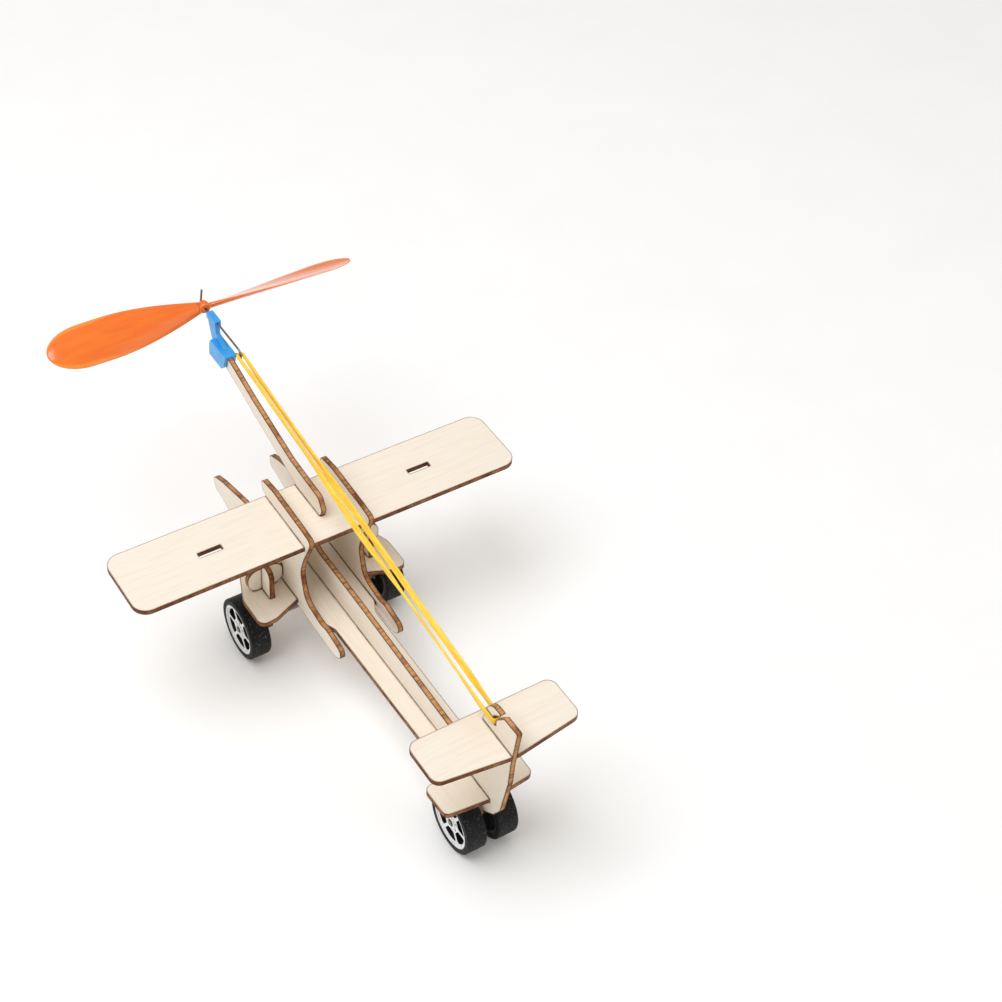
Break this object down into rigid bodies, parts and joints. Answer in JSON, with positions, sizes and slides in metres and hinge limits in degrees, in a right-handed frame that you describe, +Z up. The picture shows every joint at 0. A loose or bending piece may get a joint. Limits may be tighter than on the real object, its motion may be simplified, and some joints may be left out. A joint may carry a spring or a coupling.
{
  "type": "rubber band plane",
  "caption": "Toy plane of slotted plywood plates on wheels, with a wire-hooked propeller turned by a rubber band stretched back to the tail fin.",
  "frame": {"origin": "centre of the bounding box's underside, on the surface that the wheels stand on", "axes": "+X to starboard across the wing, +Y forward to the propeller, +Z up"},
  "size_m": [0.154, 0.2253, 0.1003],
  "materials": {
    "plywood": "satin",
    "tyre_rubber": "matte",
    "hub_plastic": "satin",
    "clip_plastic": "satin",
    "propeller_plastic": "gloss",
    "steel": "satin",
    "band_rubber": "satin"
  },
  "bodies": {
    "airframe": {"wing": "plywood", "centre_plate": "plywood", "side_plate_left": "plywood", "side_plate_right": "plywood", "lower_deck": "plywood", "stabilizer": "plywood", "strut_left": "plywood", "strut_right": "plywood", "cross_plate_left": "plywood", "cross_plate_right": "plywood", "bearing_clip": "clip_plastic", "rubber_band": "band_rubber"},
    "front_wheels": {"front_axle": "steel", "hub_front_left": "hub_plastic", "hub_front_right": "hub_plastic", "tyre_front_left": "tyre_rubber", "tyre_front_right": "tyre_rubber"},
    "rear_wheels": {"rear_axle": "steel", "hub_rear_left": "hub_plastic", "hub_rear_right": "hub_plastic", "tyre_rear_left": "tyre_rubber", "tyre_rear_right": "tyre_rubber"},
    "propeller_set": {"prop_shaft": "steel", "propeller": "propeller_plastic"}
  },
  "joints": [
    {"name": "front_wheels_roll", "type": "hinge", "parent": "airframe", "child": "front_wheels", "pos_m": [0, 0.02105, 0.01215], "axis": [1, 0, 0], "continuous": true},
    {"name": "rear_wheels_roll", "type": "hinge", "parent": "airframe", "child": "rear_wheels", "pos_m": [0, -0.09235, 0.01215], "axis": [1, 0, 0], "continuous": true},
    {"name": "propeller_spin", "type": "hinge", "parent": "airframe", "child": "propeller_set", "pos_m": [0, 0.10525, 0.0932], "axis": [0, 1, 0], "continuous": true, "deforming": ["rubber_band"]}
  ]
}
